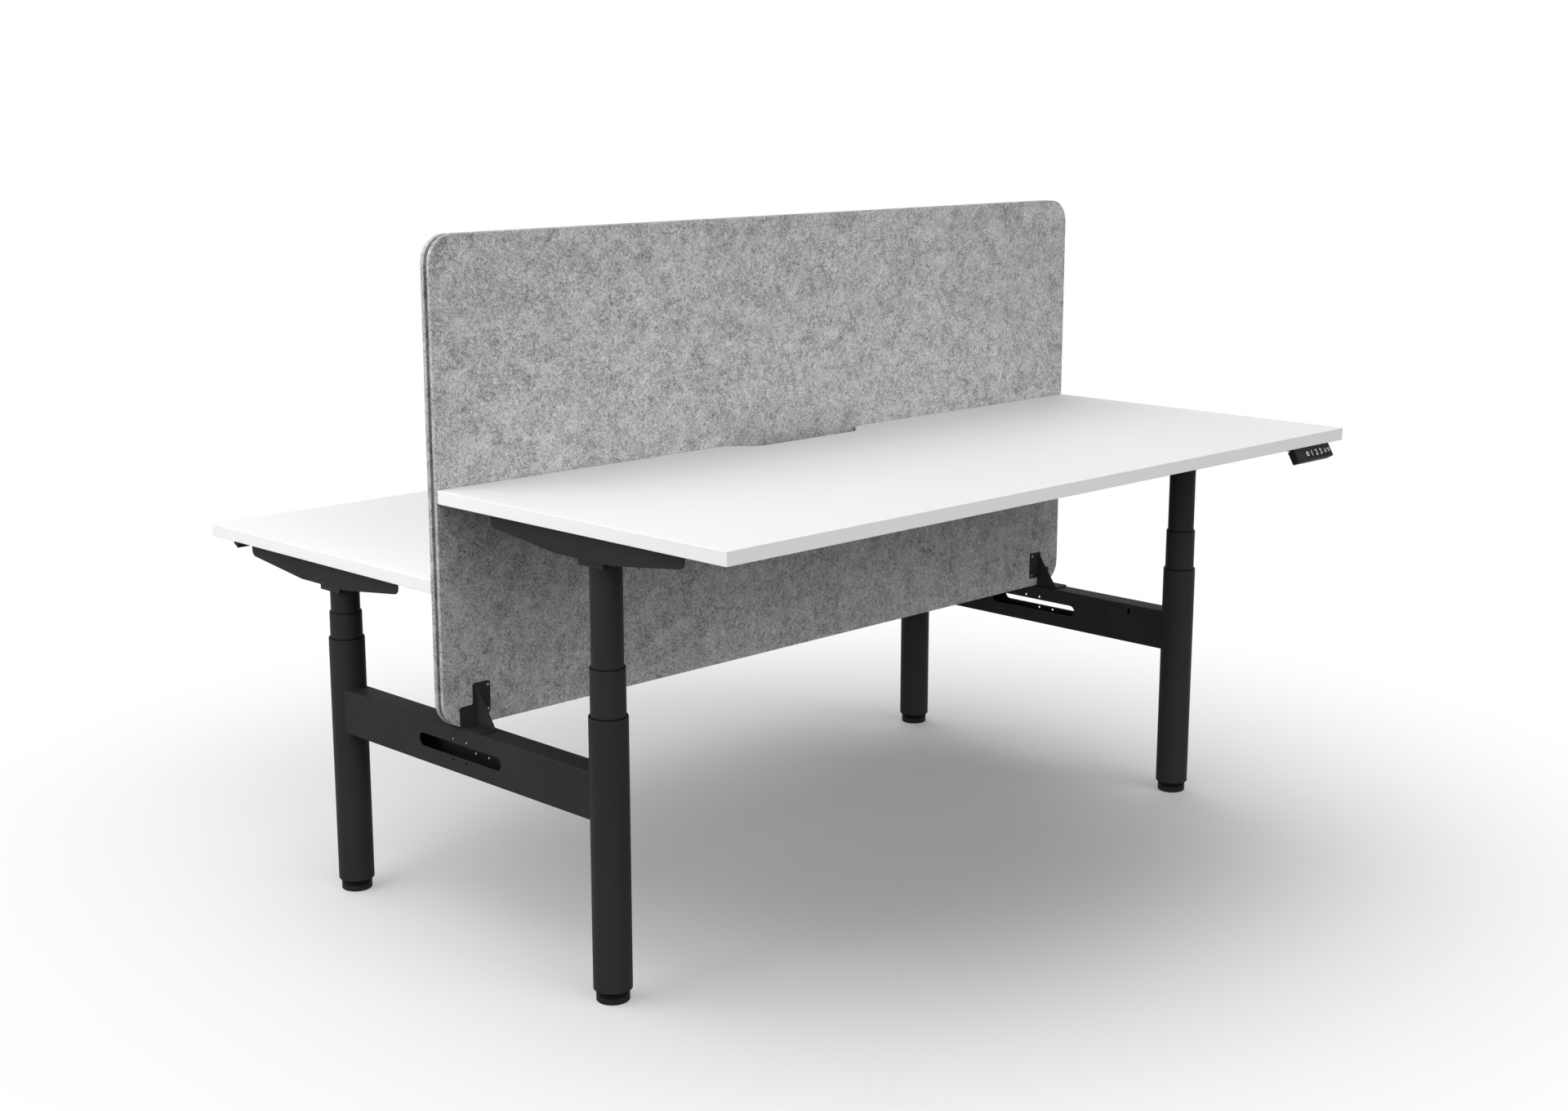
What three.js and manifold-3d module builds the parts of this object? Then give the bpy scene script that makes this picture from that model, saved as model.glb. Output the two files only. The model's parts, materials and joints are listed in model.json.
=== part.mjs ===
// Benching desk for two: a pair of sit-stand desks back to back on one base frame, with a felt screen between.
// Millimetres, +Z up. The origin is on the floor at the middle of the desk, X runs along the screen,
// the front desk is at -Y and the rear desk at +Y. The pose is the photographed one: front desk raised.
import * as THREE from "three";
import { mergeVertices } from "three/addons/utils/BufferGeometryUtils.js";
import Module from "manifold-3d";

const wasm = await Module();
wasm.setup();

// Desktops and screen
const DESK_WIDTH = 1800;
const DESK_DEPTH = 750;
const DESK_THICKNESS = 25;
const DESK_CORNER = 3;
const DESK_TO_SCREEN = 1;
const SCALLOP_DEPTH = 49;
const SCALLOP_FLOOR = 250;
const SCALLOP_SHOULDER = 85;
const PANEL_HEIGHT = 900;
const PANEL_THICKNESS = 9;
const PANEL_CORNER = 50;
const SCREEN_AIR_GAP = 9;

// Heights of the two desktops above the lowest position of the lift
const FRONT_RAISE = 213;
const REAR_RAISE = 44;

// Base frame
const LEG_FROM_DESK_END = 60;
const LEG_SPACING_Y = 788;
const FRAME_SHIFT_Y = -11.5;
const FOOT_DIAMETER = 60;
const FOOT_HEIGHT = 20;
const FOOT_EDGE = 2;
const STEM_DIAMETER = 10;
const STEM_LENGTH = 24;
const STEM_CLEARANCE = 0.3;
const PLUG_STEP = 3;
const PLUG_INSET = 2.8;
const BASE_PLATE = 8;
const BEAM_WIDTH = 54;
const BEAM_HEIGHT = 88;
const BEAM_WALL = 2.5;
const BEAM_CORNER = 4;
const BEAM_DROP = 99;
const SLOT_LENGTH = 248;
const SLOT_HEIGHT = 26;
const HOLE_DIAMETER = 6.2;
const HOLE_PITCH = 40;
const HOLE_TO_SLOT = 7;
const COVER_LENGTH = 133;
const COVER_MARGIN = 10;
const COVER_FROM_LEG = 49;
const COVER_CORNER = 4;
const COVER_GAP = 0.5;
const COVER_NOTCH_WIDTH = 8;
const COVER_NOTCH_DEPTH = 11;
const HOOK_WIDTH = 60;
const HOOK_REACH = 5;
const HOOK_THICKNESS = 1.5;

// Screen brackets
const BRACKET_SHEET = 3;
const BRACKET_REACH = 60;
const BRACKET_HEIGHT = 79.5;
const BRACKET_WING_HEIGHT = 39.5;
const BRACKET_WING_INSET = 2;
const BRACKET_NECK_OFFSET = 5.5;
const BRACKET_FLANGE_WIDTH = 38.5;
const BRACKET_FLANGE_LIFT = 19;
const BRACKET_CORNER = 5;
const GUSSET_OFFSET = 6;
const GUSSET_REACH = 54;
const GUSSET_HEIGHT = 75.5;
const GUSSET_TOE = 4;
const BRACKET_HOLE = 4;
const BRACKET_HOLE_FROM_SIDE = 5.5;
const BRACKET_HOLE_FROM_END = 7;

// Three-stage columns, from the outside in
const COLUMN_DIAMETER = 70;
const BASE_WALL = 2;
const MIDDLE_WALL = 1.5;
const INNER_WALL = 1.5;
const GLIDE_SPACE = 1.5;
const BASE_TUBE_LENGTH = 494.6;
const MIDDLE_SHOW_LOW = 42.7;
const MIDDLE_FOLLOW = 0.2053;
const MIDDLE_FLOOR_GAP = 19.3;
const INNER_SHOW_LOW = 10;
const INNER_FLOOR_GAP = 8;
const BUSH_LENGTH = 40;
const BUSH_LIP = 1.5;
const BUSH_LIP_INSET = 0.5;

// Support arms and what they hold
const ARM_LENGTH = 500;
const ARM_DEPTH = 43;
const ARM_END_DEPTH = 22;
const ARM_FLAT = 146;
const ARM_SHEET = 2.5;
const ARM_END_RADIUS = 10;
const ARM_SIDE_GAP = 13.5;
const ARM_HOLE = 6;
const ARM_HOLE_SPREAD = 60;
const ARM_HOLE_PLACES = [-215, 120, 215];
const HEAD_LENGTH = 76;
const HEAD_HEIGHT = 43;
const HEAD_CORNER = 6;
const CHEEK_SHEET = 3;
const CHEEK_HANG = 13;
const CHEEK_GAP = 2.5;
const MOTOR_DIAMETER = 36;
const MOTOR_LENGTH = 112;
const MOTOR_SINK = 4;
const SPINDLE_DIAMETER = 14;
const SPINDLE_LENGTH = 420;
const CROSSBAR_WIDTH = 80;
const CROSSBAR_HEIGHT = 30;
const CROSSBAR_WALL = 2;
const CROSSBAR_CORNER = 4;
const CROSSBAR_DROP = 5;
const FLANGE_THICKNESS = 3;
const FLANGE_WIDTH = 110;
const FLANGE_HEIGHT = 36;
const FLANGE_HOLE = 6;
const FLANGE_HOLE_SPREAD = 95;

// Control box
const BOX_LENGTH = 230;
const BOX_WIDTH = 95;
const BOX_HEIGHT = 32;
const BOX_CORNER = 6;
const BOX_EAR = 16;
const BOX_EAR_THICKNESS = 3;
const BOX_EAR_HOLE = 5;
const BOX_FROM_CROSSBAR = 65;
const SOCKET_COUNT = 4;
const SOCKET_WIDTH = 16;
const SOCKET_HEIGHT = 13;
const SOCKET_DEPTH = 10;
const SOCKET_PITCH = 34;

// Handset and its keys
const HANDSET_WIDTH = 132;
const HANDSET_FACE = 29;
const HANDSET_THICKNESS = 16;
const HANDSET_CORNER = 1.5;
const HANDSET_TILT = 30;
const HANDSET_FROM_END = 55;
const HANDSET_FROM_EDGE = 1.5;
const HANDSET_FOOT_LENGTH = 26;
const HANDSET_FOOT_HEIGHT = 8;
const HANDSET_FOOT_INSET = 14;
const HANDSET_SCREW_HOLE = 4;
const WINDOW_DEPTH = 0.6;
const WINDOW_MARGIN = 4;
const KEY_WIDTH = 13;
const KEY_HEIGHT = 15;
const KEY_THICKNESS = 3;
const KEY_CORNER = 2;
const KEY_PITCH = 17;
const KEY_TRAVEL = 0.8;
const KEY_FLOOR_GAP = 0.2;
const ROCKER_LENGTH = 26;
const ROCKER_MARGIN = 2;
const ROCKER_TO_KEYS = 3.5;

// Fits: running space between pieces that touch, and the fineness of round faces
const CLEARANCE = 0.3;
const FOOT_REST_GAP = 0.4;
const ROUND_STEPS = 24;
const ARC_STEPS = 3;
const FINE_ARC_STEPS = 6;
const ARC_PULL = 0.5523;
const CUT_THROUGH = 10;

// Worked-out sizes
const middleDiameter = COLUMN_DIAMETER - 2 * (BASE_WALL + GLIDE_SPACE);
const innerDiameter = middleDiameter - 2 * (MIDDLE_WALL + GLIDE_SPACE);
const plugBottom = FOOT_HEIGHT + FOOT_REST_GAP;
const baseBottom = plugBottom + PLUG_STEP;
const baseTop = baseBottom + BASE_TUBE_LENGTH;
const plateTop = baseBottom + BASE_PLATE;
const beamTop = baseTop - BEAM_DROP;
const legSpacingX = DESK_WIDTH - 2 * LEG_FROM_DESK_END;
const beamLength = LEG_SPACING_Y;
const middleLength = BASE_TUBE_LENGTH + MIDDLE_SHOW_LOW - BASE_PLATE - MIDDLE_FLOOR_GAP;
const headTop = -(CLEARANCE + ARM_SHEET + CLEARANCE);
const headBottom = headTop - HEAD_HEIGHT;
const cheekBottom = headBottom - CHEEK_HANG;
const lowestUnderside = baseTop + MIDDLE_SHOW_LOW + INNER_SHOW_LOW - cheekBottom;
const innerTop = headBottom - CLEARANCE;
const innerLength = lowestUnderside + innerTop - (plateTop + MIDDLE_FLOOR_GAP + INNER_FLOOR_GAP);
const headWidth = innerDiameter + 2 * (CHEEK_GAP + CHEEK_SHEET);
const armWidth = headWidth + 2 * (ARM_SIDE_GAP + ARM_SHEET);
const screenHalf = SCREEN_AIR_GAP / 2 + PANEL_THICKNESS;
const panelBottom = beamTop + CLEARANCE;
const deskEdge = screenHalf + DESK_TO_SCREEN;

const powderCoat = { color: 0x2b2b2c, roughness: 0.55, metalness: 0.3 };
const materials = {
  steel: new THREE.MeshStandardMaterial(powderCoat),
  drive: new THREE.MeshStandardMaterial({ color: 0x1e1e1f, roughness: 0.5, metalness: 0.4 }),
  laminate: new THREE.MeshStandardMaterial({ color: 0xf1f1ef, roughness: 0.4, metalness: 0 }),
  felt: new THREE.MeshStandardMaterial({ color: 0xa3a3a2, roughness: 0.95, metalness: 0 }),
  plastic: new THREE.MeshStandardMaterial({ color: 0x242425, roughness: 0.5, metalness: 0 }),
  glide: new THREE.MeshStandardMaterial({ color: 0x141415, roughness: 0.4, metalness: 0 }),
  rubber: new THREE.MeshStandardMaterial({ color: 0x1f1f20, roughness: 0.8, metalness: 0 }),
};

// A closed geometry as a solid for cutting and joining.
function toSolid(geometry) {
  const bare = new THREE.BufferGeometry();
  bare.setAttribute("position", geometry.getAttribute("position"));
  bare.setIndex(geometry.index);
  const merged = mergeVertices(bare, 1e-4);
  const corners = merged.index.array;
  const kept = [];
  for (let i = 0; i < corners.length; i += 3) {
    const [a, b, c] = corners.subarray(i, i + 3);
    if (a !== b && b !== c && c !== a) kept.push(a, b, c);
  }
  const mesh = new wasm.Mesh({
    numProp: 3,
    vertProperties: merged.attributes.position.array,
    triVerts: new Uint32Array(kept),
  });
  return new wasm.Manifold(mesh);
}

function toGeometry(solid) {
  const { vertProperties, triVerts } = solid.getMesh();
  const geometry = new THREE.BufferGeometry();
  geometry.setAttribute("position", new THREE.BufferAttribute(vertProperties, 3));
  geometry.setIndex(new THREE.BufferAttribute(triVerts, 1));
  return geometry;
}

function join(first, ...others) {
  return toGeometry(others.reduce((sum, other) => sum.add(toSolid(other)), toSolid(first)));
}

function cut(first, ...tools) {
  return toGeometry(tools.reduce((left, tool) => left.subtract(toSolid(tool)), toSolid(first)));
}

// A shape pushed out along +Z, or with its plane turned so that it is pushed along +X or -Y.
function prism(shape, depth, steps = ARC_STEPS) {
  return new THREE.ExtrudeGeometry(shape, { depth, bevelEnabled: false, curveSegments: steps });
}

const X = new THREE.Vector3(1, 0, 0);
const Y = new THREE.Vector3(0, 1, 0);
const Z = new THREE.Vector3(0, 0, 1);

function prismAlongX(shape, depth, steps) {
  return prism(shape, depth, steps).applyMatrix4(new THREE.Matrix4().makeBasis(Y, Z, X));
}

function prismAlongBack(shape, depth, steps) {
  return prism(shape, depth, steps).applyMatrix4(new THREE.Matrix4().makeBasis(X, Z, Y.clone().negate()));
}

// A profile of [radius, height] points turned about the Z axis.
function revolve(profile) {
  const points = profile.map(([radius, height]) => new THREE.Vector2(radius, height));
  return new THREE.LatheGeometry(points, ROUND_STEPS).rotateX(Math.PI / 2);
}

function pipe(outerRadius, innerRadius, bottom, top) {
  const corner = [innerRadius, bottom];
  return revolve([corner, [outerRadius, bottom], [outerRadius, top], [innerRadius, top], corner]);
}

function rod(radius, bottom, top) {
  return revolve([[0, bottom], [radius, bottom], [radius, top], [0, top]]);
}

// Rounds a corner of a shape from start to end. ARC_PULL makes the curve at a right angle a circular arc.
function roundTo(shape, start, corner, end) {
  const leave = start.clone().lerp(corner, ARC_PULL);
  const arrive = end.clone().lerp(corner, ARC_PULL);
  shape.bezierCurveTo(leave.x, leave.y, arrive.x, arrive.y, end.x, end.y);
}

// A polygon whose corners [x, y, radius] are rounded where a radius is given.
function outline(corners) {
  const shape = new THREE.Shape();
  corners.forEach(([x, y, radius = 0], i) => {
    const here = new THREE.Vector2(x, y);
    const before = new THREE.Vector2(...corners.at(i - 1).slice(0, 2));
    const after = new THREE.Vector2(...corners[(i + 1) % corners.length].slice(0, 2));
    const start = before.sub(here).setLength(radius).add(here);
    const end = after.sub(here).setLength(radius).add(here);
    if (i === 0) shape.moveTo(start.x, start.y);
    else shape.lineTo(start.x, start.y);
    if (radius > 0) roundTo(shape, start, here, end);
  });
  shape.closePath();
  return shape;
}

function rectangle(width, height, radius = 0) {
  const x = width / 2;
  const y = height / 2;
  return outline([[-x, -y, radius], [x, -y, radius], [x, y, radius], [-x, y, radius]]);
}

function obround(length, height) {
  const shape = new THREE.Shape();
  const straight = (length - height) / 2;
  shape.absarc(straight, 0, height / 2, -Math.PI / 2, Math.PI / 2, false);
  shape.absarc(-straight, 0, height / 2, Math.PI / 2, (3 * Math.PI) / 2, false);
  shape.closePath();
  return shape;
}

function circle(diameter) {
  return new THREE.Shape().absarc(0, 0, diameter / 2, 0, 2 * Math.PI, false);
}

// Levelling foot: a pad with its stem, at rest fully screwed in.
function levellingFoot() {
  const radius = FOOT_DIAMETER / 2;
  const stem = STEM_DIAMETER / 2;
  return revolve([
    [0, 0],
    [radius - FOOT_EDGE, 0],
    [radius, FOOT_EDGE],
    [radius, FOOT_HEIGHT - FOOT_EDGE],
    [radius - FOOT_EDGE, FOOT_HEIGHT],
    [stem, FOOT_HEIGHT],
    [stem, FOOT_HEIGHT + STEM_LENGTH],
    [0, FOOT_HEIGHT + STEM_LENGTH],
  ]);
}

// Outer stage: tube with a stepped bottom plate that takes the foot's stem.
function baseTube() {
  const outer = COLUMN_DIAMETER / 2;
  const inner = outer - BASE_WALL;
  const bore = STEM_DIAMETER / 2 + STEM_CLEARANCE;
  return revolve([
    [bore, plugBottom],
    [outer - PLUG_INSET, plugBottom],
    [outer - PLUG_INSET, baseBottom],
    [outer, baseBottom],
    [outer, baseTop],
    [inner, baseTop],
    [inner, plateTop],
    [bore, plateTop],
    [bore, plugBottom],
  ]);
}

// Glide ring in the mouth of a tube: a skirt in the glide space with a lip on the rim, which is at height 0.
function bush(tubeDiameter, tubeWall) {
  const tube = tubeDiameter / 2;
  const skirt = tube - tubeWall - CLEARANCE;
  const bore = tube - tubeWall - GLIDE_SPACE + CLEARANCE;
  return revolve([
    [bore, -BUSH_LENGTH],
    [skirt, -BUSH_LENGTH],
    [skirt, CLEARANCE],
    [tube - BUSH_LIP_INSET, CLEARANCE],
    [tube - BUSH_LIP_INSET, CLEARANCE + BUSH_LIP],
    [bore, CLEARANCE + BUSH_LIP],
    [bore, -BUSH_LENGTH],
  ]);
}

// Cross beam: rectangular tube with its ends cut to the columns, a cable slot through both walls with fixing
// holes round its middle, and a cover opening in the wall at -X by the leg at -Y. Height 0 is the beam's middle.
const coverHeight = BEAM_HEIGHT - 2 * COVER_MARGIN;
const coverMiddle = -(LEG_SPACING_Y / 2 - COVER_FROM_LEG - COVER_LENGTH / 2);

function crossBeam() {
  const section = rectangle(BEAM_WIDTH, BEAM_HEIGHT, BEAM_CORNER);
  const inside = rectangle(BEAM_WIDTH - 2 * BEAM_WALL, BEAM_HEIGHT - 2 * BEAM_WALL, BEAM_CORNER - BEAM_WALL);
  section.holes.push(new THREE.Path(inside.getPoints(ARC_STEPS)));
  const beam = prismAlongBack(section, beamLength).translate(0, beamLength / 2, 0);
  const through = BEAM_WIDTH + CUT_THROUGH;
  const slotShape = obround(SLOT_LENGTH, SLOT_HEIGHT);
  const slot = prismAlongX(slotShape, through, FINE_ARC_STEPS).translate(-through / 2, 0, 0);
  const holeRise = SLOT_HEIGHT / 2 + HOLE_TO_SLOT;
  const holes = [-1, 1].flatMap((side) =>
    [-holeRise, holeRise].map((rise) =>
      prismAlongX(circle(HOLE_DIAMETER), through).translate(-through / 2, (side * HOLE_PITCH) / 2, rise),
    ),
  );
  const window = rectangle(COVER_LENGTH + 2 * COVER_GAP, coverHeight + 2 * COVER_GAP, COVER_CORNER);
  const opening = prismAlongX(window, CUT_THROUGH + BEAM_WALL);
  opening.translate(-BEAM_WIDTH / 2 - CUT_THROUGH / 2, coverMiddle, 0);
  const saddle = COLUMN_DIAMETER / 2 + CLEARANCE;
  const saddles = [-1, 1].map((end) =>
    rod(saddle, -BEAM_HEIGHT, BEAM_HEIGHT).translate(0, (end * LEG_SPACING_Y) / 2, 0),
  );
  return cut(beam, slot, ...holes, opening, ...saddles);
}

// Access cover: flush with the beam's wall, with a finger notch above and a hook behind the wall below.
function accessCover() {
  const wallFace = -BEAM_WIDTH / 2;
  const plate = prismAlongX(rectangle(COVER_LENGTH, coverHeight, COVER_CORNER), BEAM_WALL);
  const notch = prismAlongX(rectangle(COVER_NOTCH_WIDTH, 2 * COVER_NOTCH_DEPTH), CUT_THROUGH);
  const hookDrop = HOOK_REACH + COVER_GAP;
  const hookRoot = BEAM_WALL + CLEARANCE + HOOK_THICKNESS;
  const hook = prismAlongX(rectangle(HOOK_WIDTH, 2 * hookDrop), HOOK_THICKNESS);
  const neck = prismAlongX(rectangle(HOOK_WIDTH, hookDrop), hookRoot);
  return join(
    cut(plate, notch.translate(-CUT_THROUGH / 2, 0, coverHeight / 2)),
    neck.translate(0, 0, (hookDrop - coverHeight) / 2),
    hook.translate(BEAM_WALL + CLEARANCE, 0, -coverHeight / 2),
  ).translate(wallFace, coverMiddle, 0);
}

// Screen bracket: foot plate on the beam, stepped plate against the panel and a sloping gusset between.
// It stands at the beam's middle line against a panel face at Y = 0; hand is +1 where the flange points to +X.
function screenBracket(hand) {
  const wing = -(BEAM_WIDTH / 2 - BRACKET_WING_INSET);
  const neck = BRACKET_NECK_OFFSET;
  const flange = neck + BRACKET_FLANGE_WIDTH;
  const gusset = neck + GUSSET_OFFSET;
  const fold = gusset + BRACKET_SHEET;
  const corner = BRACKET_CORNER;
  const face = outline(
    [
      [wing, 0],
      [wing, BRACKET_WING_HEIGHT, corner],
      [neck, BRACKET_WING_HEIGHT, corner],
      [neck, BRACKET_HEIGHT, corner],
      [flange, BRACKET_HEIGHT, corner],
      [flange, BRACKET_FLANGE_LIFT, corner],
      [fold, BRACKET_FLANGE_LIFT],
      [fold, 0],
    ].map(([u, v, radius]) => [hand * u, v, radius]),
  );
  const rib = outline([
    [0, 0],
    [0, GUSSET_HEIGHT],
    [-BRACKET_SHEET, GUSSET_HEIGHT],
    [-GUSSET_REACH, GUSSET_TOE],
    [-GUSSET_REACH, 0],
  ]);
  const ribStart = hand > 0 ? gusset : -fold;
  const sole = outline([
    [hand * wing, -BRACKET_REACH, corner],
    [hand * fold, -BRACKET_REACH],
    [hand * fold, 0],
    [hand * wing, 0],
  ]);
  const holeHeights = [BRACKET_FLANGE_LIFT + BRACKET_HOLE_FROM_END, BRACKET_HEIGHT - BRACKET_HOLE_FROM_END];
  const holes = holeHeights.map((height) =>
    prismAlongBack(circle(BRACKET_HOLE), CUT_THROUGH).translate(
      hand * (flange - BRACKET_HOLE_FROM_SIDE),
      CUT_THROUGH / 2,
      height,
    ),
  );
  return join(
    cut(prismAlongBack(face, BRACKET_SHEET), ...holes),
    prismAlongX(rib, BRACKET_SHEET).translate(ribStart, 0, 0),
    prism(sole, BRACKET_SHEET),
  ).translate(0, -CLEARANCE, CLEARANCE);
}

function feltPanel() {
  const shape = rectangle(DESK_WIDTH, PANEL_HEIGHT, PANEL_CORNER);
  const board = prismAlongBack(shape, PANEL_THICKNESS, FINE_ARC_STEPS);
  return board.translate(0, PANEL_THICKNESS / 2, PANEL_HEIGHT / 2);
}

// Desktop with its top at height 0, the user at -Y and the scallop in the edge at +Y, whose line is Y = 0.
function desktop() {
  const x = DESK_WIDTH / 2;
  const floor = SCALLOP_FLOOR / 2;
  const mouth = floor + SCALLOP_SHOULDER;
  const bend = SCALLOP_SHOULDER / 2;
  const c = DESK_CORNER;
  const shape = new THREE.Shape();
  shape.moveTo(-x + c, -DESK_DEPTH);
  shape.lineTo(x - c, -DESK_DEPTH);
  shape.quadraticCurveTo(x, -DESK_DEPTH, x, -DESK_DEPTH + c);
  shape.lineTo(x, -c);
  shape.quadraticCurveTo(x, 0, x - c, 0);
  shape.lineTo(mouth, 0);
  shape.bezierCurveTo(mouth - bend, 0, floor + bend, -SCALLOP_DEPTH, floor, -SCALLOP_DEPTH);
  shape.lineTo(-floor, -SCALLOP_DEPTH);
  shape.bezierCurveTo(-floor - bend, -SCALLOP_DEPTH, -mouth + bend, 0, -mouth, 0);
  shape.lineTo(-x + c, 0);
  shape.quadraticCurveTo(-x, 0, -x, -c);
  shape.lineTo(-x, -DESK_DEPTH + c);
  shape.quadraticCurveTo(-x, -DESK_DEPTH, -x + c, -DESK_DEPTH);
  return prism(shape, DESK_THICKNESS, FINE_ARC_STEPS).translate(0, 0, -DESK_THICKNESS);
}

// Support arm: channel open below, deepest over the column, with tapered open ends. Height 0 is the desk's underside.
function supportArm() {
  const half = ARM_LENGTH / 2;
  const flat = ARM_FLAT / 2;
  const side = outline([
    [-half, 0],
    [-half, -ARM_END_DEPTH, ARM_END_RADIUS],
    [-flat, -ARM_DEPTH],
    [flat, -ARM_DEPTH],
    [half, -ARM_END_DEPTH, ARM_END_RADIUS],
    [half, 0],
  ]);
  const hollowWidth = armWidth - 2 * ARM_SHEET;
  const hollow = prismAlongX(rectangle(ARM_LENGTH + CUT_THROUGH, 2 * (ARM_DEPTH - ARM_SHEET) + CUT_THROUGH), hollowWidth);
  const holes = [-1, 1].flatMap((edge) =>
    ARM_HOLE_PLACES.map((along) =>
      prism(circle(ARM_HOLE), CUT_THROUGH).translate((edge * ARM_HOLE_SPREAD) / 2, along, -CUT_THROUGH / 2),
    ),
  );
  return cut(
    prismAlongX(side, armWidth).translate(-armWidth / 2, 0, -CLEARANCE),
    hollow.translate(-hollowWidth / 2, 0, -CLEARANCE - ARM_DEPTH - CUT_THROUGH / 2),
    ...holes,
  );
}

// Lift drive: gear housing on the inner tube with two cheeks beside it, motor along the arm and spindle down the tube.
function liftDrive() {
  const block = prism(rectangle(headWidth, HEAD_LENGTH, HEAD_CORNER), HEAD_HEIGHT).translate(0, 0, headBottom);
  const cheek = () => prismAlongX(rectangle(HEAD_LENGTH - 2 * HEAD_CORNER, 2 * CHEEK_HANG), CHEEK_SHEET);
  const cheekFace = headWidth / 2;
  const motorRadius = MOTOR_DIAMETER / 2;
  const motorRun = HEAD_LENGTH / 2 + MOTOR_LENGTH;
  const motor = rod(motorRadius, 0, motorRun).rotateX(-Math.PI / 2);
  const spindle = rod(SPINDLE_DIAMETER / 2, headBottom - SPINDLE_LENGTH, headBottom + HEAD_HEIGHT / 2);
  return join(
    block,
    cheek().translate(-cheekFace, 0, headBottom),
    cheek().translate(cheekFace - CHEEK_SHEET, 0, headBottom),
    motor.translate(0, 0, headTop - MOTOR_SINK - motorRadius),
    spindle,
  );
}

// Crossbar: rectangular tube with an open flange at each end against the arms' inner walls.
function crossbar() {
  const length = legSpacingX - armWidth - 2 * CLEARANCE;
  const bore = new THREE.Path(
    rectangle(
      CROSSBAR_WIDTH - 2 * CROSSBAR_WALL,
      CROSSBAR_HEIGHT - 2 * CROSSBAR_WALL,
      CROSSBAR_CORNER - CROSSBAR_WALL,
    ).getPoints(ARC_STEPS),
  );
  const section = rectangle(CROSSBAR_WIDTH, CROSSBAR_HEIGHT, CROSSBAR_CORNER);
  const flange = rectangle(FLANGE_WIDTH, FLANGE_HEIGHT, CROSSBAR_CORNER);
  section.holes.push(bore);
  flange.holes.push(bore);
  for (const edge of [-1, 1]) {
    const hole = new THREE.Path().absarc((edge * FLANGE_HOLE_SPREAD) / 2, 0, FLANGE_HOLE / 2, 0, 2 * Math.PI, true);
    flange.holes.push(hole);
  }
  const start = -length / 2;
  return join(
    prismAlongX(section, length).translate(start, 0, 0),
    prismAlongX(flange, FLANGE_THICKNESS).translate(start, 0, 0),
    prismAlongX(flange, FLANGE_THICKNESS).translate(-start - FLANGE_THICKNESS, 0, 0),
  ).translate(0, 0, -CROSSBAR_DROP - CROSSBAR_HEIGHT / 2);
}

// Control box with its top at height 0: a case with a screw ear at each end and a row of sockets facing the user.
function controlBox() {
  const body = prism(rectangle(BOX_LENGTH, BOX_WIDTH, BOX_CORNER), BOX_HEIGHT).translate(0, 0, -BOX_HEIGHT);
  const earShape = rectangle(BOX_LENGTH + 2 * BOX_EAR, BOX_WIDTH / 2, BOX_CORNER);
  const ears = prism(earShape, BOX_EAR_THICKNESS).translate(0, 0, -BOX_EAR_THICKNESS);
  const earHoles = [-1, 1].map((end) =>
    prism(circle(BOX_EAR_HOLE), CUT_THROUGH).translate((end * (BOX_LENGTH + BOX_EAR)) / 2, 0, -CUT_THROUGH / 2),
  );
  const sockets = Array.from({ length: SOCKET_COUNT }, (_, i) =>
    prismAlongBack(rectangle(SOCKET_WIDTH, SOCKET_HEIGHT), SOCKET_DEPTH + CUT_THROUGH).translate(
      (i - (SOCKET_COUNT - 1) / 2) * SOCKET_PITCH,
      SOCKET_DEPTH - BOX_WIDTH / 2,
      -BOX_HEIGHT / 2,
    ),
  );
  return cut(join(body, ears), ...earHoles, ...sockets);
}

// Places along the handset's face, from its middle: the rocker at the right, the keys in a row to its left.
const rockerMiddle = HANDSET_WIDTH / 2 - ROCKER_MARGIN - ROCKER_LENGTH / 2;
const lastKey = rockerMiddle - ROCKER_LENGTH / 2 - ROCKER_TO_KEYS - KEY_WIDTH / 2;
const keyNames = ["memory", "one", "two", "three"];
const keyMiddle = (i) => lastKey - (keyNames.length - 1 - i) * KEY_PITCH;
const pocketDepth = KEY_THICKNESS + KEY_TRAVEL + KEY_FLOOR_GAP;

// Turns a piece made upright, with its face at Y = 0 and its top edge at height 0, to the handset's tilt.
function tilted(geometry) {
  return geometry.rotateX(-THREE.MathUtils.degToRad(HANDSET_TILT));
}

// A key-shaped plate on the face, grown all round by a margin and reaching back to a depth.
function keyPlate(width, margin, front, depth) {
  const shape = rectangle(width + 2 * margin, KEY_HEIGHT + 2 * margin, KEY_CORNER);
  return prismAlongBack(shape, depth - front).translate(0, depth, -HANDSET_FACE / 2);
}

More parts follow.
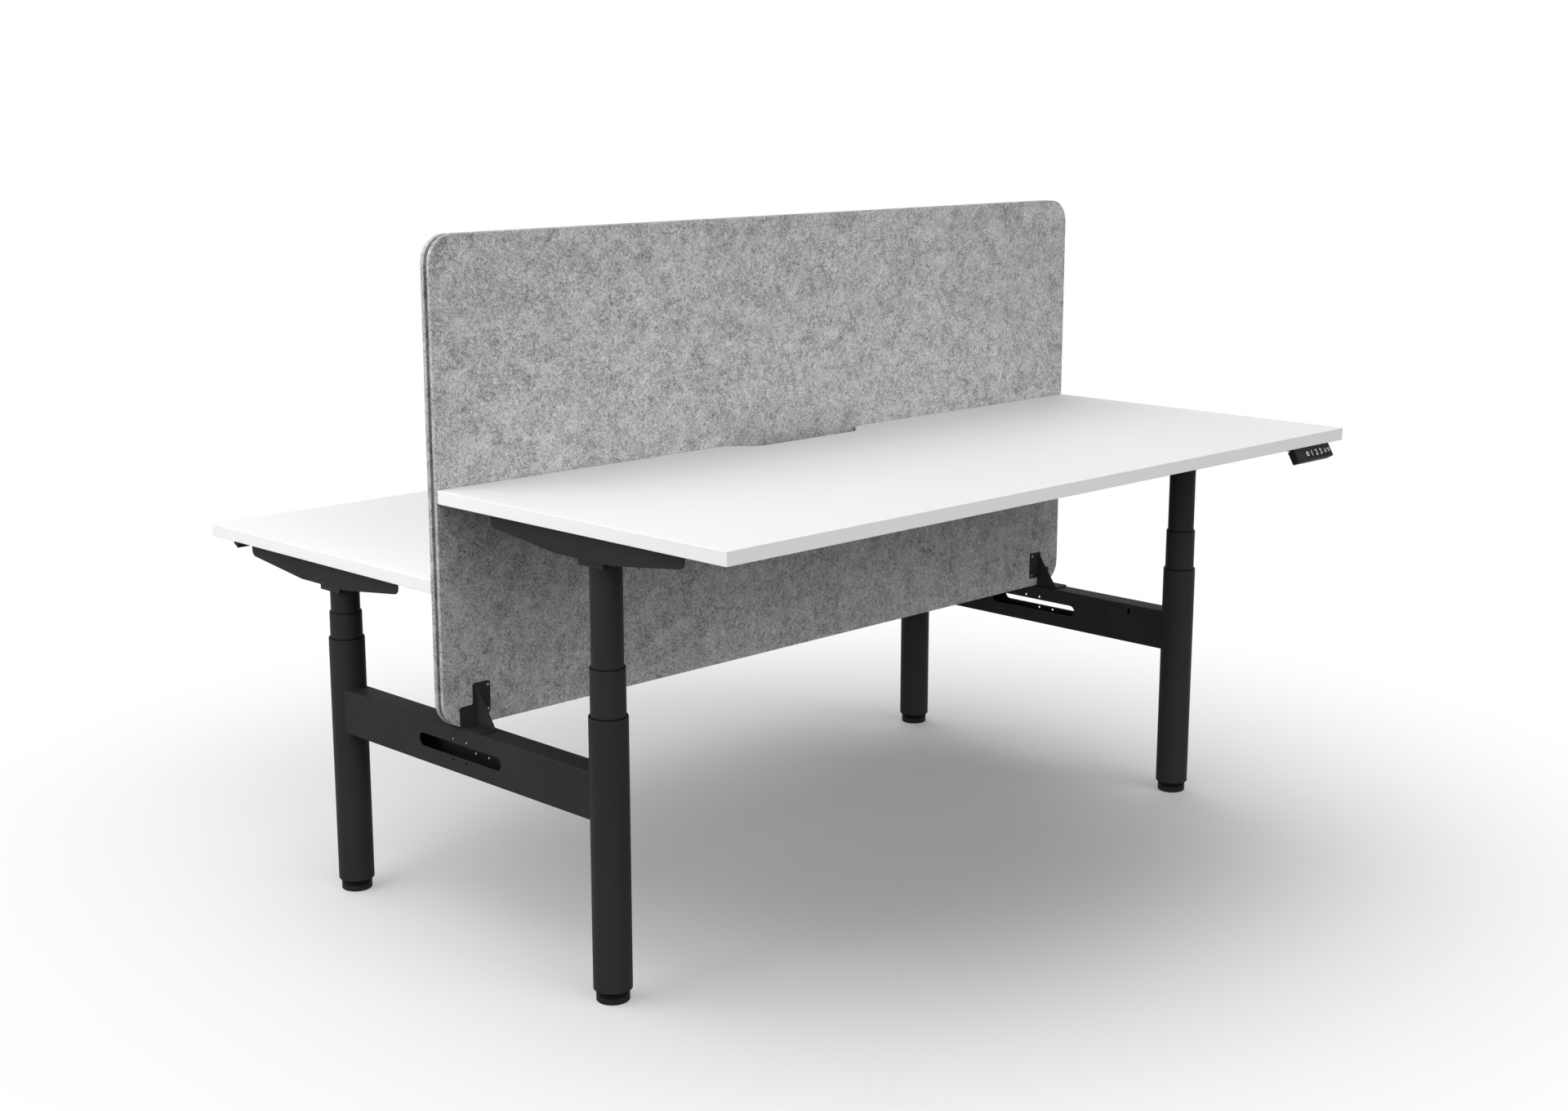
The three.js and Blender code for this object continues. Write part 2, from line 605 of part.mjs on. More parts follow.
// Handset: tilted case with a display window and key pockets, hung from a screwed foot under the desk's edge.
function handset() {
  const shell = rectangle(HANDSET_WIDTH, HANDSET_FACE, HANDSET_CORNER);
  const shellPrism = prismAlongBack(shell, HANDSET_THICKNESS);
  const body = shellPrism.translate(0, HANDSET_THICKNESS, -HANDSET_FACE / 2);
  const pockets = keyNames.map((_, i) =>
    keyPlate(KEY_WIDTH, CLEARANCE, -CUT_THROUGH, pocketDepth).translate(keyMiddle(i), 0, 0),
  );
  const rockerPocket = keyPlate(ROCKER_LENGTH, CLEARANCE, -CUT_THROUGH, pocketDepth).translate(rockerMiddle, 0, 0);
  const windowLeft = -HANDSET_WIDTH / 2 + WINDOW_MARGIN;
  const windowRight = keyMiddle(0) - KEY_WIDTH / 2 - WINDOW_MARGIN;
  const window = keyPlate(windowRight - windowLeft, 0, -CUT_THROUGH, WINDOW_DEPTH);
  window.translate((windowLeft + windowRight) / 2, 0, 0);
  const tilt = THREE.MathUtils.degToRad(HANDSET_TILT);
  const backTop = [HANDSET_THICKNESS * Math.cos(tilt), -HANDSET_THICKNESS * Math.sin(tilt)];
  const footBack = backTop[0] + HANDSET_FOOT_LENGTH;
  const wedge = outline([
    [HANDSET_CORNER, 0],
    [HANDSET_CORNER, -HANDSET_CORNER],
    [backTop[0], backTop[1] - HANDSET_CORNER],
    [backTop[0], -HANDSET_FOOT_HEIGHT],
    [footBack, -HANDSET_FOOT_HEIGHT],
    [footBack, 0],
  ]);
  const footWidth = HANDSET_WIDTH - 2 * HANDSET_FOOT_INSET;
  const foot = prismAlongX(wedge, footWidth).translate(-footWidth / 2, 0, 0);
  const screwHoles = [-1, 1].map((side) =>
    prism(circle(HANDSET_SCREW_HOLE), 2 * HANDSET_FOOT_HEIGHT + CUT_THROUGH).translate(
      (side * footWidth) / 3,
      backTop[0] + HANDSET_FOOT_LENGTH / 2,
      -2 * HANDSET_FOOT_HEIGHT,
    ),
  );
  const caseWithPockets = tilted(cut(body, ...pockets, rockerPocket, window));
  return cut(join(caseWithPockets, foot), ...screwHoles);
}

const key = () => tilted(keyPlate(KEY_WIDTH, 0, 0, KEY_THICKNESS));
const rocker = () => tilted(keyPlate(ROCKER_LENGTH, 0, 0, KEY_THICKNESS));

function add(parent, name, geometry, material) {
  const mesh = new THREE.Mesh(geometry, material);
  mesh.name = name;
  parent.add(mesh);
  return mesh;
}

function place(parent, x, y, z, turn = 0) {
  const group = new THREE.Group();
  group.position.set(x, y, z);
  group.rotation.z = turn;
  parent.add(group);
  return group;
}

const bench = new THREE.Group();
const sides = [
  { side: "left", sign: -1 },
  { side: "right", sign: 1 },
];
const desks = [
  { desk: "front", raise: FRONT_RAISE, turn: 0, columnLine: LEG_SPACING_Y / 2 - FRAME_SHIFT_Y },
  { desk: "rear", raise: REAR_RAISE, turn: Math.PI, columnLine: LEG_SPACING_Y / 2 + FRAME_SHIFT_Y },
];

// Base frame: two beams, each with its cover, and the screen on them with a bracket on each side
const beamGeometry = crossBeam();
const coverGeometry = accessCover();
for (const { side, sign } of sides) {
  const turn = sign > 0 ? 0 : Math.PI;
  const beam = place(bench, (sign * legSpacingX) / 2, FRAME_SHIFT_Y, beamTop - BEAM_HEIGHT / 2, turn);
  add(beam, `${side}_cross_beam`, beamGeometry, materials.steel);
  add(beam, `${side}_access_cover`, coverGeometry, materials.steel);
}
for (const { desk, turn } of desks) {
  const screen = place(bench, 0, 0, 0, turn);
  const panelMiddle = (SCREEN_AIR_GAP + PANEL_THICKNESS) / 2;
  add(place(screen, 0, -panelMiddle, panelBottom), `${desk}_felt_panel`, feltPanel(), materials.felt);
  for (const { side, sign } of sides) {
    const hand = turn ? sign : -sign;
    const bracket = place(screen, (-hand * legSpacingX) / 2, -screenHalf, beamTop);
    add(bracket, `${desk}_${side}_screen_bracket`, screenBracket(hand), materials.steel);
  }
}

// Columns: each desk stands on two, which share the base tube, the middle tube and the inner tube on the desk
for (const { desk, raise, turn, columnLine } of desks) {
  const middleRim = baseTop + MIDDLE_SHOW_LOW + MIDDLE_FOLLOW * raise;
  const underside = lowestUnderside + raise;
  const deskGroup = place(bench, 0, 0, 0, turn);
  for (const { side, sign } of sides) {
    const name = `${desk}_${side}`;
    const localSign = turn ? -sign : sign;
    const column = place(deskGroup, (localSign * legSpacingX) / 2, -columnLine, 0);
    add(column, `${name}_levelling_foot`, levellingFoot(), materials.rubber);
    add(column, `${name}_base_tube`, baseTube(), materials.steel);
    add(place(column, 0, 0, baseTop), `${name}_base_bush`, bush(COLUMN_DIAMETER, BASE_WALL), materials.glide);
    const middle = place(column, 0, 0, middleRim);
    const middleRadius = middleDiameter / 2;
    const middlePipe = pipe(middleRadius, middleRadius - MIDDLE_WALL, -middleLength, 0);
    add(middle, `${name}_middle_tube`, middlePipe, materials.steel);
    add(middle, `${name}_middle_bush`, bush(middleDiameter, MIDDLE_WALL), materials.glide);
    const head = place(column, 0, 0, underside);
    const innerRadius = innerDiameter / 2;
    const innerPipe = pipe(innerRadius, innerRadius - INNER_WALL, innerTop - innerLength, innerTop);
    add(head, `${name}_inner_tube`, innerPipe, materials.steel);
    add(head, `${name}_lift_drive`, liftDrive(), materials.drive);
    add(head, `${name}_support_arm`, supportArm(), materials.steel);
  }

  // Desktop, with the crossbar, control box and handset below it
  const top = place(deskGroup, 0, -deskEdge, underside + DESK_THICKNESS);
  add(top, `${desk}_desktop`, desktop(), materials.laminate);
  const below = place(deskGroup, 0, -columnLine, underside);
  add(below, `${desk}_crossbar`, crossbar(), materials.steel);
  const boxMiddle = (CROSSBAR_WIDTH + BOX_WIDTH) / 2 + BOX_FROM_CROSSBAR;
  add(place(below, 0, boxMiddle, -CLEARANCE), `${desk}_control_box`, controlBox(), materials.plastic);
  const handsetMiddle = DESK_WIDTH / 2 - HANDSET_FROM_END - HANDSET_WIDTH / 2;
  const handsetEdge = -deskEdge - DESK_DEPTH + HANDSET_FROM_EDGE;
  const remote = place(deskGroup, handsetMiddle, handsetEdge, underside - CLEARANCE);
  add(remote, `${desk}_handset`, handset(), materials.plastic);
  keyNames.forEach((keyName, i) => {
    add(place(remote, keyMiddle(i), 0, 0), `${desk}_key_${keyName}`, key(), materials.plastic);
  });
  add(place(remote, rockerMiddle, 0, 0), `${desk}_height_rocker`, rocker(), materials.plastic);
}

export default bench;
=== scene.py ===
# %% [markdown]
# # A benching desk for two
# Two sit-stand desks stand back to back on one base frame, with a felt screen between them. The CAD
# model gives every piece its size and place. This lesson dresses it: each piece gets the edges, screws,
# marks and finish of the real one, and keeps riding on the body that carries it, so the desks can still
# go up and down.

# %% Load the frame
import json
import math

import bmesh
import bpy
from mathutils import Matrix, Vector


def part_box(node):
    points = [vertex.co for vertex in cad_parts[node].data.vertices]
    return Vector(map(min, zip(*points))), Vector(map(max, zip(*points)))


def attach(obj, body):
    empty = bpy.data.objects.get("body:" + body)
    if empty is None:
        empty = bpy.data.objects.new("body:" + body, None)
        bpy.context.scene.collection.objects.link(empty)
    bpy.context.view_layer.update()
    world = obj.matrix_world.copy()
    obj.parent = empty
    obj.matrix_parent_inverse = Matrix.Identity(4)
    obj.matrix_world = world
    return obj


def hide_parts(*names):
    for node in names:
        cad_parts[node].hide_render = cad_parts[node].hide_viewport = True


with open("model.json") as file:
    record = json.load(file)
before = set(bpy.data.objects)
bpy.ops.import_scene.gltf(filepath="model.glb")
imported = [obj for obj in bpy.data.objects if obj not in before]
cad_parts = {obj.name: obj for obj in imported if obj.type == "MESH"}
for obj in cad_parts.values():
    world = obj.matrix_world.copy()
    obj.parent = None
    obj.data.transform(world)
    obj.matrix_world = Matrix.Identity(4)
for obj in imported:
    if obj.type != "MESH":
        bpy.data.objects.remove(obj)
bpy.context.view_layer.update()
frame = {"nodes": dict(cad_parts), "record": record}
record = frame["record"]
BODY_OF = {node: body for body, nodes in record["behaviour"]["bodies"].items() for node in nodes}
SLOT_OF = {part["node"]: part["material_slot"] for part in record["subparts"]}
DESKS = ("front", "rear")
SIDES = ("left", "right")
MM = 0.001

# %% [markdown]
# ## The camera
# The photograph was taken from the front left corner, a little above the desks. A camera can be placed
# by eye, but here its place and lens were worked out from the straight edges of the desk, whose sizes
# are known.

# %% Camera
CAMERA_PLACE = (-3.1772, -3.1680, 1.5642)
CAMERA_TURN = math.radians(-45.0)
CAMERA_TILT = math.radians(-11.98)
CAMERA_LENS_MM = 50.19
VIEW_DEPTH = 100.0
camera = bpy.data.objects.new("camera", bpy.data.cameras.new("camera"))
camera.data.lens = CAMERA_LENS_MM
camera.data.clip_end = VIEW_DEPTH
camera.location = CAMERA_PLACE
camera.rotation_euler = (math.pi / 2 + CAMERA_TILT, 0.0, CAMERA_TURN)
bpy.context.collection.objects.link(camera)
bpy.context.scene.camera = camera
print("camera at", CAMERA_PLACE)

# %% [markdown]
# ## Helpers for materials
# Colours are picked as sRGB hex values, but shaders work in linear light, so one function converts them.
# Others add a node with its settings and fill its sockets with values or with links.


# %% Colour and node helpers
def linear(hex_code):
    channels = [int(hex_code[i : i + 2], 16) / 255 for i in (1, 3, 5)]
    return (*[c / 12.92 if c <= 0.04045 else ((c + 0.055) / 1.055) ** 2.4 for c in channels], 1.0)


def fill(tree, node, sockets):
    for name, value in sockets.items():
        if isinstance(value, bpy.types.NodeSocket):
            tree.links.new(value, node.inputs[name])
        else:
            node.inputs[name].default_value = value


def add_node(tree, kind, sockets, **settings):
    node = tree.nodes.new(kind)
    for name, value in settings.items():
        setattr(node, name, value)
    fill(tree, node, sockets)
    return node


def new_material(name):
    material = bpy.data.materials.new(name)
    material.use_nodes = True
    tree = material.node_tree
    return material, tree, tree.nodes["Principled BSDF"]


print("white is", linear("#ffffff"))

# %% [markdown]
# Most finishes share four steps: noise with grains of a given size, a range that the noise is stretched
# over, a ramp of colours, and a bump. Each gets a short function.


# %% Steps that finishes share
def noise(tree, size_mm, **sockets):
    sockets["Vector"] = add_node(tree, "ShaderNodeTexCoord", {}).outputs["Object"]
    sockets["Scale"] = 1 / (size_mm * MM)
    return add_node(tree, "ShaderNodeTexNoise", sockets).outputs["Fac"]


def stretch(tree, value, low, high):
    sockets = {"Value": value, "To Min": low, "To Max": high}
    return add_node(tree, "ShaderNodeMapRange", sockets).outputs["Result"]


def ramp(tree, value, first, last, middle=None):
    node = add_node(tree, "ShaderNodeValToRGB", {"Fac": value})
    stops = node.color_ramp.elements
    for stop, (position, hex_code) in ((stops[0], first), (stops[1], last)):
        stop.position = position
        stop.color = linear(hex_code)
    if middle:
        stops.new(middle[0]).color = linear(middle[1])
    return node.outputs["Color"]


def bump(tree, height, strength, depth_mm):
    sockets = {"Height": height, "Strength": strength, "Distance": depth_mm * MM}
    return add_node(tree, "ShaderNodeBump", sockets).outputs["Normal"]


print("shared steps:", noise.__name__, stretch.__name__, ramp.__name__, bump.__name__)

# %% [markdown]
# ## Powder-coated steel
# The frame is mild steel sheet and tube, sprayed with black polyester powder and baked. The melted powder
# leaves a fine orange-peel skin, so highlights are broad and soft, and the black looks like dark grey on
# lit sides. The real texture is under half a millimetre. It is drawn at about 1.5 mm here so that it
# shows at all.


# %% Powder coat
POWDER_GRAIN_MM = 1.5
POWDER_DRIFT_MM = 120.0


def powder_coat():
    material, tree, shader = new_material("black_powder_coated_steel")
    peel = noise(tree, POWDER_GRAIN_MM, Detail=2.0)
    drift = noise(tree, POWDER_DRIFT_MM, Detail=3.0)
    sockets = {
        "Base Color": ramp(tree, drift, (0.3, "#2b2b2c"), (0.7, "#303031")),
        "Roughness": stretch(tree, peel, 0.46, 0.6),
        "Normal": bump(tree, peel, 0.12, 0.2),
        "IOR": 1.5,
        "Specular IOR Level": 0.05,
    }
    fill(tree, shader, sockets)
    return material


print("powder grain of", POWDER_GRAIN_MM, "mm")

# %% [markdown]
# ## Pressed felt
# The screen is board pressed from polyester fibre. Light and dark fibres are carded together before
# pressing, so the grey is mottled: faint clouds a few centimetres wide, wisps of fibre about a centimetre
# long, and fine hairs that show most. Three noise textures of those sizes are mixed. The light fibres are
# a little warmer than the dark.


# %% Felt
FELT_CLOUD_MM = 40.0
FELT_WISP_MM = 11.0
FELT_HAIR_MM = 2.6
WISP_SHARE = 0.66
HAIR_SHARE = 0.53


def pressed_felt():
    material, tree, shader = new_material("pressed_grey_polyester_felt")
    cloud = noise(tree, FELT_CLOUD_MM, Detail=4.0, Roughness=0.62, Distortion=0.6)
    wisp = noise(tree, FELT_WISP_MM, Detail=5.0, Roughness=0.7, Distortion=1.6)
    hair = noise(tree, FELT_HAIR_MM, Detail=3.0, Distortion=2.0)
    coarse = add_node(tree, "ShaderNodeMix", {"Factor": WISP_SHARE, "A": cloud, "B": wisp})
    mottle = add_node(
        tree, "ShaderNodeMix", {"Factor": HAIR_SHARE, "A": coarse.outputs["Result"], "B": hair}
    ).outputs["Result"]
    sockets = {
        "Base Color": ramp(tree, mottle, (0.41, "#5d5e61"), (0.57, "#d5d3d1"), (0.49, "#a5a5a5")),
        "Normal": bump(tree, hair, 0.35, 0.8),
        "Roughness": 0.95,
        "Specular IOR Level": 0.15,
        "Sheen Weight": 0.12,
        "Sheen Roughness": 0.6,
    }
    fill(tree, shader, sockets)
    return material


print("felt clouds of", FELT_CLOUD_MM, "mm and wisps of", FELT_WISP_MM, "mm")

# %% [markdown]
# ## White melamine and its edge band
# The desktops are chipboard faced with melamine paper, pressed against a finely textured plate. That gives
# a dull, even white with a faint pebble. The edges are closed with a thin ABS band, a little smoother than
# the faces.


# %% Melamine
MELAMINE_PEBBLE_MM = 2.0


def white_board(name, hex_code, roughness):
    material, tree, shader = new_material(name)
    pebble = noise(tree, MELAMINE_PEBBLE_MM, Detail=2.0)
    sockets = {
        "Base Color": linear(hex_code),
        "Roughness": stretch(tree, pebble, roughness - 0.05, roughness + 0.05),
        "Normal": bump(tree, pebble, 0.05, 0.1),
        "IOR": 1.5,
        "Specular IOR Level": 0.08,
    }
    fill(tree, shader, sockets)
    return material


print("board texture of", MELAMINE_PEBBLE_MM, "mm")

# %% [markdown]
# ## Moulded plastics and rubber
# The handset and control box are ABS moulded in a spark-eroded tool, which leaves a fine matt grain. The
# glide rings are acetal, smoother and waxier. The feet are hard rubber. One function makes them all from a
# colour, a roughness and a grain size, and the painted castings of the lift drives as well.


# %% Moulded plastic
def moulded(name, hex_code, roughness, grain_mm, strength, shine=0.5):
    material, tree, shader = new_material(name)
    grain = noise(tree, grain_mm, Detail=3.0)
    sockets = {
        "Base Color": linear(hex_code),
        "Roughness": stretch(tree, grain, roughness - 0.06, roughness + 0.06),
        "Normal": bump(tree, grain, strength, 0.2),
        "IOR": 1.53,
        "Specular IOR Level": shine,
    }
    fill(tree, shader, sockets)
    return material


print("plastics come from", moulded.__name__)

# %% [markdown]
# ## Metals
# Screws are zinc-plated steel, bright on the brackets and with a black passivated skin under the desks.
# They are metals, so their colour is the colour of their reflection.


# %% Bare metals
def bare_metal(name, hex_code, roughness, grain_mm):
    material, tree, shader = new_material(name)
    grain = noise(tree, grain_mm, Detail=4.0)
    sockets = {
        "Base Color": linear(hex_code),
        "Metallic": 1.0,
        "Roughness": stretch(tree, grain, roughness - 0.08, roughness + 0.08),
    }
    fill(tree, shader, sockets)
    return material


print("metals come from", bare_metal.__name__)

# %% All finishes
FINISH = {
    "black_powder_coat": powder_coat(),
    "grey_felt": pressed_felt(),
    "white_laminate": white_board("white_melamine_face", "#f4f4f3", 0.6),
    "edge_band": white_board("white_abs_edge_band", "#f5f5f4", 0.5),
    "black_plastic": moulded("black_moulded_abs", "#242425", 0.55, 1.2, 0.1, 0.08),
    # The near-black acetal of the glide rings is also painted shade: on the upper side of the feet, and in
    # part on the plugs under the base tubes.
    "glide_plastic": moulded("black_acetal_glide_and_painted_shade", "#060606", 0.5, 3.0, 0.03, 0.08),
    "foot_rubber": moulded("black_hard_rubber", "#1f1f1f", 0.7, 1.6, 0.15, 0.12),
    "drive_metal": moulded("black_painted_casting", "#121213", 0.5, 1.4, 0.12, 0.2),
    "screw_metal": bare_metal("black_passivated_zinc", "#3a3b3d", 0.34, 1.0),
    "bright_zinc": bare_metal("bright_zinc_plate", "#a9abad", 0.4, 1.0),
    "key_mark": moulded("white_pad_print", "#e9e9e7", 0.5, 0.8, 0.02),
    "smoked_window": moulded("smoked_acrylic_window", "#1d1d1e", 0.3, 8.0, 0.0, 0.08),
}
print(len(FINISH), "finishes")

# %% [markdown]
# ## Seating a piece
# A finished piece replaces its CAD node, rides on the node's body and wears the finish of the node's
# material slot. The object stays at the origin, with its place in its mesh, as the CAD nodes have.


# %% Seat a finished mesh
def seat(name, mesh, body, materials, node=None):
    piece = bpy.data.objects.new(name, mesh)
    bpy.context.collection.objects.link(piece)
    for material in materials:
        mesh.materials.append(material)
    if node:
        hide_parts(node)
    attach(piece, body)
    return piece


def shade(mesh, sharp_degrees):
    mesh.shade_smooth()
    mesh.set_sharp_from_angle(angle=math.radians(sharp_degrees))


def to_mesh(form, name):
    mesh = bpy.data.meshes.new(name)
    form.to_mesh(mesh)
    form.free()
    return mesh


print("seating is ready")

# %% [markdown]
# ## Edges that catch the light
# A CAD edge is perfectly sharp, and no real edge is. A copy of the CAD node is cleaned of its triangles,
# and a narrow bevel is put along each real edge, so that it shows a thin highlight. Folded sheet gets
# about half a millimetre, moulded cases a little more, and felt the soft lip that the cutter leaves.


# %% Put a bevelled mesh in a node's place
EDGE_ANGLE = 32.0


def dressed(node, mesh, bevel_mm):
    shade(mesh, EDGE_ANGLE)
    slot = SLOT_OF[node]
    piece = seat(f"{node}_finish", mesh, BODY_OF[node], [FINISH[slot]], node)
    bevel = piece.modifiers.new("edge", "BEVEL")
    bevel.width = bevel_mm * MM
    bevel.segments = 2
    bevel.limit_method = "ANGLE"
    bevel.angle_limit = math.radians(EDGE_ANGLE)
    bevel.harden_normals = True
    return piece


print("edges over", EDGE_ANGLE, "degrees are bevelled")

# %% Copy a node with soft edges
PLANAR_ANGLE = math.radians(0.6)
WELD = 1e-6


def softened(node, bevel_mm):
    mesh = frame["nodes"][node].data.copy()
    mesh.materials.clear()
    form = bmesh.new()
    form.from_mesh(mesh)
    bmesh.ops.remove_doubles(form, verts=form.verts, dist=WELD)
    bmesh.ops.dissolve_limit(form, angle_limit=PLANAR_ANGLE, verts=form.verts, edges=form.edges)
    form.to_mesh(mesh)
    form.free()
    return dressed(node, mesh, bevel_mm)


SOFT_EDGES_MM = {
    "cross_beam": 0.5,
    "access_cover": 0.4,
    "screen_bracket": 0.5,
    "support_arm": 0.6,
    "lift_drive": 0.8,
    "crossbar": 0.5,
    "control_box": 0.8,
    "handset": 0.5,
    "felt_panel": 1.2,
}
for node in BODY_OF:
    for kind, width in SOFT_EDGES_MM.items():
        if node.endswith(kind):
            softened(node, width)
print("softened edges of", ", ".join(SOFT_EDGES_MM))

# %% [markdown]
# ## Desktops
# The board is faced above and below and banded round its edge. The copy gets a small radius where the band
# meets the faces, then each face takes the finish that its direction calls for.

# %% Desktops
DESKTOP_RADIUS_MM = 1.0
LEVEL_ENOUGH = 0.5
for desk in DESKS:
    top = softened(f"{desk}_desktop", DESKTOP_RADIUS_MM)
    top.data.materials.append(FINISH["edge_band"])
    for face in top.data.polygons:
        face.material_index = 0 if abs(face.normal.z) > LEVEL_ENOUGH else 1
    print(top.name, "with", len(top.data.polygons), "faces before its bevel")

# %% [markdown]
# ## Turned pieces
# Tubes, glide rings and feet are round. Their CAD solids have 24 sides, which would show at the outline, so
# each is turned again from its own profile with many more. Rims get a small radius, as a saw-cut and
# deburred tube has.


# %% Turn a profile
TURN_STEPS = 96


def circle(steps):
    return [math.tau * i / steps for i in range(steps)]


def turned(node, profile, rim_mm):
    low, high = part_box(node)
    middle = (low + high) / 2
    form = bmesh.new()
    rings = []
    for radius, height in profile:
        angles = circle(TURN_STEPS) if radius > 0.0 else [0.0]
        spots = [(middle.x + radius * math.cos(a), middle.y + radius * math.sin(a)) for a in angles]
        rings.append([form.verts.new((x, y, height)) for x, y in spots])
    is_tube = profile[0][0] > 0.0
    pairs = zip(rings, rings[1:] + rings[:1] if is_tube else rings[1:])
    for below, above in pairs:
        for i in range(TURN_STEPS):
            j = (i + 1) % TURN_STEPS
            corners = [below[i % len(below)], below[j % len(below)]]
            corners += [above[j % len(above)], above[i % len(above)]]
            form.faces.new(dict.fromkeys(corners))
    bmesh.ops.recalc_face_normals(form, faces=form.faces)
    return dressed(node, to_mesh(form, node), rim_mm)


def paint_between(mesh, low, high, finish):
    """Gives another finish to the faces whose middle lies between two heights."""
    mesh.materials.append(finish)
    for face in mesh.polygons:
        if low <= face.center.z < high:
            face.material_index = len(mesh.materials) - 1


print("turning with", TURN_STEPS, "steps")

# %% Tubes of the three stages
WALL = {"base": 2.0 * MM, "middle": 1.5 * MM, "inner": 1.5 * MM}
STEM_BORE = 5.3 * MM
PLUG_INSET = 2.8 * MM
PLUG_STEP = 3.0 * MM
PLATE_THICKNESS = 8.0 * MM
BASE_RIM_MM = 0.4
STAGE_RIM_MM = 0.3
LEGS = [f"{desk}_{side}" for desk in DESKS for side in SIDES]


def outside(node):
    low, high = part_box(node)
    return (high.x - low.x) / 2, low.z, high.z


for leg in LEGS:
    radius, bottom, top = outside(f"{leg}_base_tube")
    shoulder = bottom + PLUG_STEP
    inside = radius - WALL["base"]
    plate = shoulder + PLATE_THICKNESS
    profile = [(STEM_BORE, bottom), (radius - PLUG_INSET, bottom), (radius - PLUG_INSET, shoulder)]
    profile += [(radius, shoulder), (radius, top), (inside, top), (inside, plate), (STEM_BORE, plate)]
    tube = turned(f"{leg}_base_tube", profile, BASE_RIM_MM)
    # The plug under the tube takes the near-black acetal, partly as its own black plastic and partly as
    # painted shade for the groove under the tube's rim.
    paint_between(tube.data, bottom, shoulder, FINISH["glide_plastic"])
    for stage in ("middle", "inner"):
        radius, bottom, top = outside(f"{leg}_{stage}_tube")
        bore = radius - WALL[stage]
        profile = [(bore, bottom), (radius, bottom), (radius, top), (bore, top)]
        turned(f"{leg}_{stage}_tube", profile, STAGE_RIM_MM)
print("turned the tubes of", len(LEGS), "columns")

# %% Glide rings and feet
BUSH_LIP = 1.5 * MM
BUSH_RIM_MM = 0.2
FIT = 0.3 * MM
GLIDE = 1.5 * MM
FOOT_RADIUS = 30.0 * MM
FOOT_EDGE = 2.0 * MM
FOOT_HEIGHT = 20.0 * MM
FOOT_SHADE_LINE = 12.0 * MM
FOOT_RIM_MM = 0.5
STEM_RADIUS = 5.0 * MM
for leg in LEGS:
    for stage in ("base", "middle"):
        tube, _, _ = outside(f"{leg}_{stage}_tube")
        lip, bottom, top = outside(f"{leg}_{stage}_bush")
        skirt = tube - WALL[stage] - FIT
        bore = tube - WALL[stage] - GLIDE + FIT
        profile = [(bore, bottom), (skirt, bottom), (skirt, top - BUSH_LIP)]
        profile += [(lip, top - BUSH_LIP), (lip, top), (bore, top)]
        turned(f"{leg}_{stage}_bush", profile, BUSH_RIM_MM)
    _, bottom, top = outside(f"{leg}_levelling_foot")
    profile = [(0.0, bottom), (FOOT_RADIUS - FOOT_EDGE, bottom), (FOOT_RADIUS, bottom + FOOT_EDGE)]
    profile += [(FOOT_RADIUS, FOOT_SHADE_LINE), (FOOT_RADIUS, FOOT_HEIGHT - FOOT_EDGE)]
    profile += [(FOOT_RADIUS - FOOT_EDGE, FOOT_HEIGHT), (STEM_RADIUS, FOOT_HEIGHT)]
    profile += [(STEM_RADIUS, top), (0.0, top)]
    foot = turned(f"{leg}_levelling_foot", profile, FOOT_RIM_MM)
    # The upper side of the foot and its stem take the near-black acetal as painted shade, for the shadow
    # that the tube casts onto the top of the foot.
    paint_between(foot.data, FOOT_SHADE_LINE, top, FINISH["glide_plastic"])
print("turned the glide rings and feet")

# %% [markdown]
# ## The handset's keys
# Each key is a small moulded cap that stands flush in its pocket. The caps keep their CAD shape with softer
# edges. Their marks are pad-printed, so each is a film a few hundredths of a millimetre thick that moves
# with its key.

# %% Key caps
KEYS = ("key_memory", "key_one", "key_two", "key_three", "height_rocker")
KEY_EDGE_MM = 0.35
for desk in DESKS:
    for key in KEYS:
        softened(f"{desk}_{key}", KEY_EDGE_MM)
print("softened", len(DESKS) * len(KEYS), "keys")

# %% [markdown]
# ## Marks on the keys
# The marks are figures, arrows and a plain ring. Each is a flat outline, filled, and turned to the tilt of
# the face. Figures come from Blender's own font, and the ring and arrows from a few points.

# %% Figures
MARK_HEIGHT = 12.0 * MM
FIGURE_SHARE = 0.7
FIGURE_WEIGHT = 0.35 * MM


def figure(text):
    curve = bpy.data.curves.new(f"figure_{text}", "FONT")
    curve.body = text
    curve.align_x = "CENTER"
    curve.size = MARK_HEIGHT / FIGURE_SHARE
    curve.offset = FIGURE_WEIGHT
    maker = bpy.data.objects.new("figure_maker", curve)
    bpy.context.collection.objects.link(maker)
    evaluated = maker.evaluated_get(bpy.context.evaluated_depsgraph_get())
    mesh = bpy.data.meshes.new_from_object(evaluated)
    bpy.data.objects.remove(maker)
    heights = [v.co.y for v in mesh.vertices]
    mesh.transform(Matrix.Translation((0.0, -(min(heights) + max(heights)) / 2, 0.0)))
    return mesh


print("marks are", MARK_HEIGHT / MM, "mm high")

# %% Ring and arrows
STROKE = 2.0 * MM
RING_STEPS = 40
ARROW_RISE = 0.36 * MARK_HEIGHT
ARROW_REACH = 0.8 * ARROW_RISE


